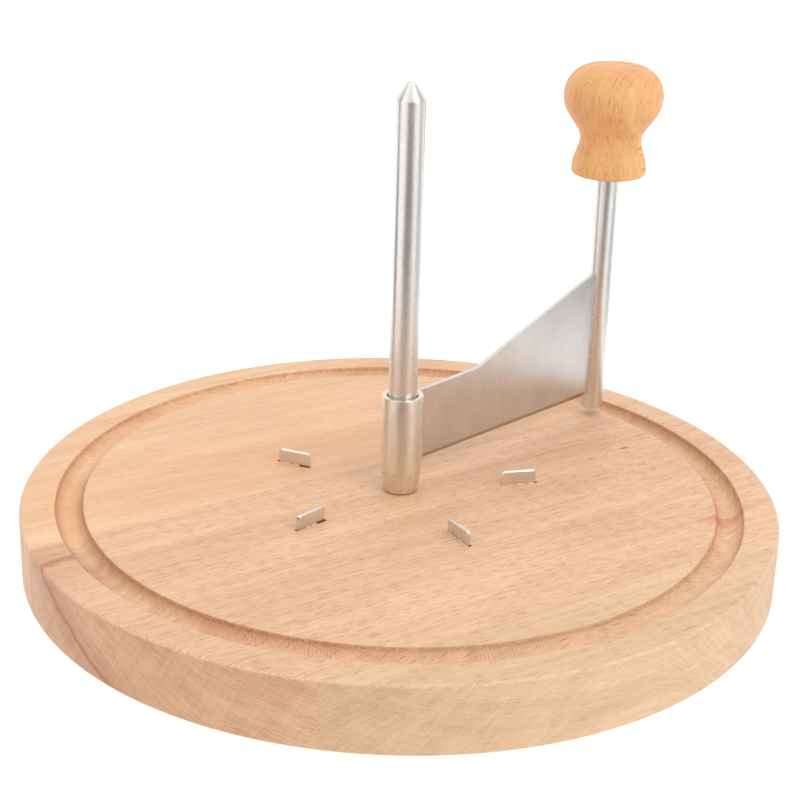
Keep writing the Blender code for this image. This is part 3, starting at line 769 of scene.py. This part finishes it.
def make_board():
    reach = BOARD_RADIUS + 5 * MM
    staves = {
        "back": (BACK_JOINT + GLUE_LINE / 2, reach, beech_back()),
        "middle": (FRONT_JOINT + GLUE_LINE / 2, BACK_JOINT - GLUE_LINE / 2, beech_middle()),
        "front": (-reach, FRONT_JOINT - GLUE_LINE / 2, beech_front()),
    }
    hollows = board_hollows()
    for name, (low, high, finish) in staves.items():
        stave = turned(f"beech_stave_{name}", board_outline(), 240)
        middle = (low + high) / 2
        place = (-middle * sin(GRAIN_AZIMUTH), middle * cos(GRAIN_AZIMUTH), BOARD_TOP)
        band = block("cutter", (3 * reach, high - low, 4 * BOARD_TOP), place, (0, 0, GRAIN_AZIMUTH))
        cut(stave, band, "INTERSECT")
        for hollow in hollows:
            x, y = hollow.location.x, hollow.location.y
            across = y * cos(GRAIN_AZIMUTH) - x * sin(GRAIN_AZIMUTH)
            if low < across < high:
                cut(stave, hollow)
        settle(stave, 28.0)
        discard([band])
        piece(stave, "board", finish, f"beech_{name}", f"board_stave_{name}")
    discard(hollows)


def upright(x, y, azimuth):
    """The frame of an upright plate: x along it, y up, z towards the board's front or its right."""
    turn = Matrix.Rotation(azimuth, 4, "Z") @ Matrix.Rotation(pi / 2, 4, "X")
    return Matrix.Translation((x, y, 0.0)) @ turn


def plate(name, outline, thickness, frame_matrix):
    """A flat piece with that outline, in the middle of the frame's x and y plane."""
    shape = bmesh.new()
    face = shape.faces.new([shape.verts.new((point[0], point[1], -thickness / 2)) for point in outline])
    extruded = bmesh.ops.extrude_face_region(shape, geom=[face])
    raised = [item for item in extruded["geom"] if isinstance(item, bmesh.types.BMVert)]
    bmesh.ops.translate(shape, verts=raised, vec=(0, 0, thickness))
    bmesh.ops.recalc_face_normals(shape, faces=shape.faces)
    obj = shape_object(name, shape)
    obj.matrix_world = frame_matrix
    return obj


def make_prongs(finish, torn_finish):
    """Stamped plates with a chamfered border, and the fibres that lifted as they were driven in."""
    low, high = span("cheese_prong_1", 2)
    half = PRONG_WIDTH / 2
    for index, (x, y, azimuth) in enumerate(PRONGS):
        foot = [(-half, low, 0.0), (half, low, 0.0)]
        corners = foot + [(half, high, PRONG_CORNER), (-half, high, PRONG_CORNER)]
        place = upright(x, y, azimuth)
        prong = plate(f"steel_prong_{index + 1}", rounded(corners, 4), PRONG_THICKNESS, place)
        bevel(prong, PRONG_BEVEL, 1)
        settle(prong, 18.0)
        piece(prong, "board", finish, "brushed_stainless", f"cheese_prong_{index + 1}")
        fibres = torn_fibres(f"torn_fibres_{index + 1}", place, index)
        slot = "beech_back" if index in (1, 2) else "beech_middle"
        piece(fibres, "board", torn_finish, slot)


def front_side(frame_matrix):
    """1 when the plate's +z side faces the board's front, else -1."""
    return 1.0 if (frame_matrix.to_3x3() @ Vector((0, 0, 1))).y < 0 else -1.0


def torn_fibres(name, frame_matrix, seed):
    """Slivers of lifted wood along the foot of a prong; most of them lie on its front side."""
    draw = random.Random(seed + 11)
    shape = bmesh.new()
    facing = front_side(frame_matrix)
    for side, count, tallest in ((facing, 9, 0.42 * MM), (-facing, 5, 0.25 * MM)):
        wall = side * (PRONG_THICKNESS / 2 + 0.03 * MM)
        inner_end = -PRONG_WIDTH / 2
        if side == facing and seed in GAPING_PRONGS:
            inner_end += GAP_LENGTH
        for _ in range(count):
            length = draw.uniform(0.8, 2.6) * MM
            start = draw.uniform(-0.5, 0.5) * PRONG_WIDTH - length / 2
            start = max(inner_end, min(PRONG_WIDTH / 2 - length, start))
            width = draw.uniform(0.15, 0.4) * MM
            height = draw.uniform(0.3, 1.0) * tallest
            low = BOARD_TOP - 0.2 * MM
            places = [
                (start, low, wall),
                (start + length, low, wall),
                (start + length * 0.85, low, wall + side * width),
                (start + length * 0.1, low, wall + side * width * 0.8),
                (start + length * draw.uniform(0.1, 0.4), BOARD_TOP + height, wall + side * 0.05 * MM),
                (
                    start + length * draw.uniform(0.5, 0.9),
                    BOARD_TOP + height * 0.6,
                    wall + side * 0.08 * MM,
                ),
            ]
            bmesh.ops.convex_hull(shape, input=[shape.verts.new(place) for place in places])
    bmesh.ops.recalc_face_normals(shape, faces=shape.faces)
    obj = shape_object(name, shape)
    obj.matrix_world = frame_matrix
    return settle(obj, 20.0)


# -------------------- spindle and scraper


def make_spindle(finish):
    shoulder = SPINDLE_TIP - SPINDLE_CONE
    bore = SCREW_HOLE_RADIUS
    thread_top = SPINDLE_SEAT + 14.0 * MM
    outline = rounded([
        (0, SPINDLE_TIP, 0.0),
        (SPINDLE_TIP_RADIUS, SPINDLE_TIP, 0.25 * MM),
        (SPINDLE_RADIUS, shoulder, 0.25 * MM),
        (SPINDLE_RADIUS, SPINDLE_SEAT, 0.3 * MM),
        (bore, SPINDLE_SEAT, 0.0),
        (bore, thread_top, 0.0),
        (0, thread_top + 1 * MM, 0.0),
    ], 3)
    spindle = settle(turned("steel_spindle", outline, 96), 40.0)
    piece(spindle, "board", finish, "satin_stainless", "spindle")


def make_hub(finish):
    """The sleeve's bore keeps the liner's recess, as in the CAD model."""
    liner_low, liner_high = span("hub_liner", 2)
    gap = 0.3 * MM
    recess = span("hub_liner", 0)[1] + 0.15 * MM
    outline = rounded([
        (HUB_RADIUS, HUB_TOP, 0.2 * MM),
        (HUB_RADIUS, HUB_BOTTOM + HUB_NOSE_HEIGHT, 2.0 * MM),
        (HUB_NOSE_RADIUS, HUB_BOTTOM, 0.25 * MM),
        (HUB_BORE_RADIUS, HUB_BOTTOM, 0.0),
        (HUB_BORE_RADIUS, liner_low - gap, 0.0),
        (recess, liner_low - gap, 0.0),
        (recess, liner_high + gap, 0.0),
        (HUB_BORE_RADIUS, liner_high + gap, 0.0),
        (HUB_BORE_RADIUS, HUB_TOP - 0.4 * MM, 0.0),
        (HUB_BORE_RADIUS + 0.35 * MM, HUB_TOP, 0.0),
    ], 4)
    hub = settle(turned("steel_hub_sleeve", outline, 96, closed=True), 40.0)
    piece(hub, "scraper", finish, "satin_stainless", "hub_sleeve")


def blade_frame():
    """The blade's own plane: x out from the spindle's axis, y up, z towards the front face."""
    return upright(0.0, 0.0, BLADE_AZIMUTH)


def make_blade(finish):
    inner = HUB_RADIUS + 0.08 * MM
    outer = ROD_CIRCLE - ROD_RADIUS - 0.02 * MM
    notch_x, notch_y = BLADE_NOTCH
    outline = rounded([
        (inner, BLADE_HUB_TOP, 0.0),
        (inner, BLADE_BOTTOM, 0.0),
        (outer - notch_x, BLADE_BOTTOM, 0.0),
        (outer, BLADE_BOTTOM + notch_y, 0.5 * MM),
        (outer, BLADE_TOP, 0.9 * MM),
        (*BLADE_KNEE, 14.0 * MM),
    ], 12)
    blade = plate("steel_blade", outline, BLADE_THICKNESS, blade_frame())
    bevel(blade, 0.16 * MM, 2, 40.0)
    # the ground edge, sloping up from the cutting edge to the front face
    height, depth = BLADE_GRIND
    slope = atan2(depth, height)
    thick = 4 * MM
    middle_y = BLADE_BOTTOM + height / 2 - sin(slope) * thick / 2
    middle_z = (BLADE_THICKNESS - depth) / 2 + cos(slope) * thick / 2
    grind = block("cutter", (2 * ROD_CIRCLE, 8 * MM, thick), (0, 0, 0))
    tilt = Matrix.Rotation(slope, 4, "X")
    grind.matrix_world = blade_frame() @ Matrix.Translation((0, middle_y, middle_z)) @ tilt
    cut(blade, grind)
    settle(blade, 12.0)
    discard([grind])
    piece(blade, "scraper", finish, "brushed_stainless", "blade")


def weld_seam(name, x, low, high, side, size, seed):
    """A thin uneven bead up the angle between the blade's face and a round piece."""
    draw = random.Random(seed)
    shape = bmesh.new()
    rows = int((high - low) / (0.45 * MM))
    ring_count = 8
    rings = []
    for row in range(rows + 1):
        height = low + (high - low) * row / rows
        ends = min(row, rows - row)
        swell = min(1.0, 0.4 + 0.3 * ends) * draw.uniform(0.75, 1.25) * size
        offset_x = x + draw.uniform(-0.08, 0.08) * MM
        offset_z = side * (BLADE_THICKNESS / 2 + 0.02 * MM)
        ring = []
        for step in range(ring_count):
            angle = tau * step / ring_count
            around = Vector((cos(angle) * swell * 0.8, 0.0, sin(angle) * swell * 0.6))
            ring.append(shape.verts.new(Vector((offset_x, height, offset_z)) + around))
        rings.append(ring)
    for first, second in zip(rings, rings[1:]):
        for step in range(ring_count):
            following = (step + 1) % ring_count
            shape.faces.new((first[step], first[following], second[following], second[step]))
    shape.faces.new(rings[0])
    shape.faces.new(rings[-1])
    bmesh.ops.recalc_face_normals(shape, faces=shape.faces)
    obj = shape_object(name, shape)
    obj.matrix_world = blade_frame()
    return settle(obj, 60.0)


def make_welds(finish):
    rod_x = ROD_CIRCLE - ROD_RADIUS + 0.02 * MM
    hub_x = HUB_RADIUS + 0.02 * MM
    rod_low = BLADE_BOTTOM + BLADE_NOTCH[1] + 0.4 * MM
    rod_high = BLADE_TOP - 1.2 * MM
    seams = [
        ("weld_rod_front", rod_x, rod_low, rod_high, 1.0, 0.36 * MM),
        ("weld_rod_back", rod_x, rod_low, rod_high, -1.0, 0.34 * MM),
        ("weld_hub_back", hub_x, BLADE_BOTTOM + 0.6 * MM, BLADE_HUB_TOP - 0.6 * MM, -1.0, 0.20 * MM),
    ]
    for seed, (name, x, low, high, side, size) in enumerate(seams):
        piece(weld_seam(name, x, low, high, side, size, seed), "scraper", finish, "brushed_stainless")


def make_rod(finish):
    """Below the knob the rod is plain; its journal inside the knob is the CAD model's."""
    ring_low, ring_high = span("retaining_ring", 2)
    gap = 0.3 * MM
    journal = 2.5 * MM
    groove = 2.0 * MM
    shoulder = KNOB_BOTTOM + 0.8 * MM
    outline = rounded([
        (0, ROD_TOP, 0.0),
        (journal, ROD_TOP, 0.4 * MM),
        (journal, ring_high + gap, 0.0),
        (groove, ring_high + gap, 0.0),
        (groove, ring_low - gap, 0.0),
        (journal, ring_low - gap, 0.0),
        (journal, shoulder, 0.0),
        (ROD_RADIUS, shoulder, 0.2 * MM),
        (ROD_RADIUS, ROD_BOTTOM, 0.35 * MM),
        (0, ROD_BOTTOM, 0.0),
    ], 3)
    rod = settle(turned("steel_crank_rod", outline, 80, at=ROD_AXIS), 40.0)
    piece(rod, "scraper", finish, "satin_stainless", "crank_rod")


def make_knob(finish):
    """Flattened ball, waist and base, with a bore for the bush that the knob turns on."""
    bore = 4.55 * MM
    bore_top = ROD_TOP + 0.6 * MM
    top = KNOB_TOP - 0.35 * MM
    neck = 9.5 * MM
    base = 11.5 * MM
    outline = rounded([
        (0, KNOB_TOP, 0.0),
        (KNOB_CROWN_RADIUS, KNOB_TOP - 0.3 * MM, 0.8 * MM),
        (KNOB_RADIUS, top - 1.0 * MM, 9.0 * MM),
        (KNOB_RADIUS, KNOB_BOTTOM + 21.0 * MM, 9.4 * MM),
        (neck, KNOB_BOTTOM + 12.6 * MM, 6.0 * MM),
        (neck, KNOB_BOTTOM + 9.8 * MM, 7.0 * MM),
        (base, KNOB_BOTTOM + 3.5 * MM, 8.0 * MM),
        (base, KNOB_BOTTOM, 0.9 * MM),
        (bore, KNOB_BOTTOM, 0.3 * MM),
        (bore, bore_top, 0.0),
        (0, bore_top + bore / 2, 0.0),
    ], 12)
    knob = settle(turned("beech_knob", outline, 128, at=ROD_AXIS), 40.0)
    piece(knob, "knob", finish, "beech_knob", "knob")


# -------------------- underside


def make_feet(rubber, zinc):
    """Rubber feet with softened edges, each held by a cross-recessed screw."""
    low, high = span("foot_1", 2)
    radius = radius_of("foot_1")
    screw_low, screw_high = span("foot_screw_1", 2)
    head = radius_of("foot_screw_1")
    shank = 1.4 * MM
    hole = shank + 0.3 * MM
    pocket_radius = 3.6 * MM
    pocket = 1.7 * MM
    head_top = pocket - 0.3 * MM
    for index, place in enumerate(FEET):
        foot_outline = rounded([
            (radius, high, 0.2 * MM),
            (radius - 0.8 * MM, low, 0.5 * MM),
            (pocket_radius, low, 0.3 * MM),
            (pocket_radius, low + pocket, 0.0),
            (hole, low + pocket, 0.0),
            (hole, high, 0.0),
        ], 4)
        foot = settle(turned(f"rubber_foot_{index + 1}", foot_outline, 64, closed=True, at=place), 40.0)
        piece(foot, "board", rubber, "foot_rubber", f"foot_{index + 1}")
        screw_outline = rounded([
            (0, screw_high, 0.0),
            (shank, screw_high - 2 * shank, 0.0),
            (shank, head_top, 0.0),
            (head, head_top, 0.1 * MM),
            (head - 0.4 * MM, screw_low, 0.35 * MM),
            (0, screw_low, 0.0),
        ], 4)
        screw = turned(f"cross_screw_{index + 1}", screw_outline, 48, at=place)
        turn = radians(25 + 37 * index)
        recess = []
        for quarter in (0.0, pi / 2):
            size = (3.4 * MM, 0.6 * MM, 1.4 * MM)
            arm = block("cutter", size, (*place, screw_low), (0, 0, turn + quarter))
            cut(screw, arm)
            recess.append(arm)
        settle(screw, 35.0)
        discard(recess)
        piece(screw, "board", zinc, "zinc_plated", f"foot_screw_{index + 1}")


def make_spindle_screw(zinc):
    washer_low, washer_high = span("spindle_washer", 2)
    washer_radius = span("spindle_washer", 0)[1]
    screw_low, screw_high = span("spindle_screw", 2)
    head = span("spindle_screw", 0)[1]
    shank = 2.5 * MM
    hole = shank + 0.3 * MM
    washer_outline = rounded([
        (washer_radius, washer_high, 0.15 * MM),
        (washer_radius, washer_low, 0.25 * MM),
        (hole, washer_low, 0.15 * MM),
        (hole, washer_high, 0.0),
    ], 3)
    washer = settle(turned("plain_washer", washer_outline, 96, closed=True), 40.0)
    piece(washer, "board", zinc, "zinc_plated", "spindle_washer")
    head_top = washer_low - 0.3 * MM
    outline = rounded([
        (0, screw_high, 0.0),
        (shank - 0.4 * MM, screw_high, 0.0),
        (shank, screw_high - 0.6 * MM, 0.0),
        (shank, head_top, 0.0),
        (head, head_top, 0.1 * MM),
        (head - 0.6 * MM, screw_low, 1.2 * MM),
        (0, screw_low, 0.0),
    ], 5)
    screw = turned("hex_socket_screw", outline, 64)
    socket = round_cutter(1.7 * MM, 0.0, screw_low + 1.6 * MM, steps=6)
    cut(screw, socket)
    settle(screw, 35.0)
    discard([socket])
    piece(screw, "board", zinc, "zinc_plated", "spindle_screw")


def dress_hidden_nodes():
    """The pieces inside the hub and the knob keep their CAD shape and get real finishes."""
    finishes = {
        "hub_liner": moulded("nylon", (0.86, 0.85, 0.80), (0.76, 0.74, 0.68), 0.5, 0.00002),
        "retaining_ring": turned_steel("spring_steel", (0.22, 0.22, 0.24), 0.4, ROD_AXIS, 0.2),
        "thrust_washer": turned_steel("washer_steel", (0.62, 0.62, 0.60), 0.35, ROD_AXIS, 0.2),
        "knob_bush": turned_steel("bronze", (0.62, 0.40, 0.18), 0.42, ROD_AXIS, 0.2),
    }
    for node, finish in finishes.items():
        mesh = nodes[node].data
        mesh.materials.clear()
        mesh.materials.append(finish)


# -------------------- studio


# Brightness of the studio's walls by azimuth: 0 is behind the camera, 90 to the right, 180 the backdrop
WALL_STOPS = (
    (-180, 1.12), (-118, 1.05), (-98, 0.30), (-82, 0.30), (-66, 1.0), (-34, 1.0), (-14, 0.26),
    (20, 0.26), (36, 1.0), (62, 1.0), (78, 0.62), (112, 0.66), (132, 1.1), (180, 1.12),
)
CEILING = 1.30
CEILING_EDGE = (0.45, 0.85)  # sines of the heights between which the walls pass into the ceiling
FLOOR_SIZE = 8.0
FLOOR_GAP = 0.2 * MM
PAPER_TONES = ((0.36, 0.36, 0.36), (0.38, 0.38, 0.38))
LAMP_TARGET = Vector((0.0, 0.0, 0.03))
TABLE_GLOW = 0.84
LAMPS = (
    ("key", (0.9, -0.7, 1.1), (0.7, 0.7), 5.5),
    ("fill", (-1.1, -0.4, 0.9), (0.8, 0.8), 0.8),
)
# Dark cards give the bright steel its bands: (name, place, size, how pale)
CARDS = (
    ("front_card", (0.06, -0.56, 0.004), (0.46, 0.76), 0.03),
    ("left_card", (-0.55, 0.01, 0.005), (0.74, 0.13), 0.06),
    ("right_card", (0.55, 0.0, 0.006), (0.70, 0.30), 0.45),
)


def make_card(name, place, size, level):
    """A card lying out of the picture, which only the metal's reflections show."""
    card = grid(name, size)
    card.location = place
    for rays in ("camera", "diffuse", "shadow", "transmission", "volume_scatter"):
        setattr(card, f"visible_{rays}", False)
    surface = Shader(name)
    mottle = surface.noise(surface.object_mm(), 0.02, 2.0)
    darker = (level * 0.9,) * 3
    surface.set(Base_Color=surface.mix(mottle, (level,) * 3, darker), Roughness=0.9)
    card.data.materials.append(surface.material)


def make_floor():
    """Pale paper, lit a little from below so that it stays near white round the board."""
    floor = grid("floor", (FLOOR_SIZE, FLOOR_SIZE))
    floor.location.z = -FLOOR_GAP
    paper = Shader("paper")
    fleck = paper.noise(paper.object_mm(), 0.02, 2.0)
    paper.set(Base_Color=paper.mix(fleck, *PAPER_TONES), Roughness=0.9)
    paper.set(Emission_Color=(1.0, 1.0, 1.0, 1.0), Emission_Strength=TABLE_GLOW)
    floor.data.materials.append(paper.material)


def make_walls():
    """Light from all round: by azimuth near the horizon, and even overhead. Only the light and the
    metal show it; seen directly the backdrop is plain."""
    world = bpy.data.worlds.new("studio")
    bpy.context.scene.world = world
    world.use_nodes = True
    sky = Nodes(world.node_tree)
    x, y, z = sky.split(sky.node("ShaderNodeTexCoord", {}).outputs["Generated"])
    azimuth = sky.math("ARCTAN2", x, sky.times(y, -1.0))
    turn = sky.range(azimuth, -pi, pi, kind="LINEAR")
    walls = sky.node("ShaderNodeValToRGB", {"Fac": turn})
    ramp = walls.color_ramp
    ramp.interpolation = "EASE"
    while len(ramp.elements) < len(WALL_STOPS):
        ramp.elements.new(0.5)
    for element, (degrees, level) in zip(ramp.elements, WALL_STOPS):
        element.position = (degrees + 180.0) / 360.0
        element.color = (level, level, level, 1.0)
    overhead = sky.range(z, *CEILING_EDGE, kind="LINEAR")
    light = sky.mix(overhead, walls.outputs["Color"], (CEILING,) * 3)
    seen = sky.node("ShaderNodeLightPath", {}).outputs["Is Camera Ray"]
    background = sky.tree.nodes["Background"]
    sky.put(background.inputs["Color"], sky.mix(seen, light, (1.0, 1.0, 1.0)))
    background.inputs["Strength"].default_value = 1.0


def make_studio():
    view = bpy.context.scene.view_settings
    view.view_transform = "Standard"
    view.look = "None"
    make_floor()
    for name, place, size, level in CARDS:
        make_card(name, place, size, level)
    make_walls()
    for name, place, size, power in LAMPS:
        light = bpy.data.lights.new(name, "AREA")
        light.shape = "RECTANGLE"
        light.size, light.size_y = size
        light.energy = power
        lamp = new_object(name, light)
        lamp.location = place
        aim = LAMP_TARGET - lamp.location
        lamp.rotation_euler = aim.to_track_quat("-Z", "Y").to_euler()


CAMERA_PLACE = (0.88 * MM, -465.5 * MM, 239.6 * MM)
CAMERA_YAW = radians(-0.20)
CAMERA_DOWN = radians(22.04)
CAMERA_ROLL = radians(1.60)
CAMERA_LENS = 78.3


def make_camera():
    data = bpy.data.cameras.new("camera")
    data.lens = CAMERA_LENS
    data.sensor_width = 36.0
    data.clip_start = 0.01
    camera = new_object("camera", data)
    level = Matrix.Rotation(-CAMERA_YAW, 4, "Z") @ Matrix.Rotation(pi / 2 - CAMERA_DOWN, 4, "X")
    camera.matrix_world = Matrix.Translation(CAMERA_PLACE) @ level @ Matrix.Rotation(CAMERA_ROLL, 4, "Z")
    bpy.context.scene.camera = camera


# -------------------- assembly


make_camera()
make_studio()

satin_spindle = turned_steel("satin_spindle", (0.82, 0.80, 0.775), 0.30, (0.0, 0.0), 0.7)
# the hub's steel is tinted warm: a painted reflection of the beech board
satin_hub_warm_reflection = turned_steel("satin_hub_warm_reflection", (0.86, 0.775, 0.66), 0.36, (0.0, 0.0), 0.7, flecks=0.3)
satin_rod = turned_steel("satin_rod", (0.82, 0.80, 0.775), 0.30, ROD_AXIS, 0.7)
in_blade = (0.0, 0.0, -BLADE_AZIMUTH)
brushed = sheet_steel("brushed_blade", (0.72, 0.70, 0.675), 0.36, in_blade, (0.16, 0.5, 5.0))
grained(brushed, (cos(BLADE_AZIMUTH), sin(BLADE_AZIMUTH), 0.0), 0.45)
blade_painted_shade(brushed)
level = (0.0, 0.0, 0.0)
prong_steel = sheet_steel("prong_steel", (0.80, 0.775, 0.735), 0.22, level, (0.35, 0.35, 0.6)).material
zinc = sheet_steel("zinc_plate", (0.64, 0.64, 0.62), 0.32, level, (0.5, 0.5, 0.5)).material
rubber = moulded("foot_rubber", (0.055, 0.055, 0.055), (0.10, 0.10, 0.10), 0.75, 0.00005)

make_board()
make_prongs(prong_steel, torn_wood())
make_spindle(satin_spindle)
make_hub(satin_hub_warm_reflection)
make_blade(brushed.material)
make_welds(weld_metal())
make_rod(satin_rod)
make_knob(beech_knob())
make_feet(rubber, zinc)
make_spindle_screw(zinc)
dress_hidden_nodes()
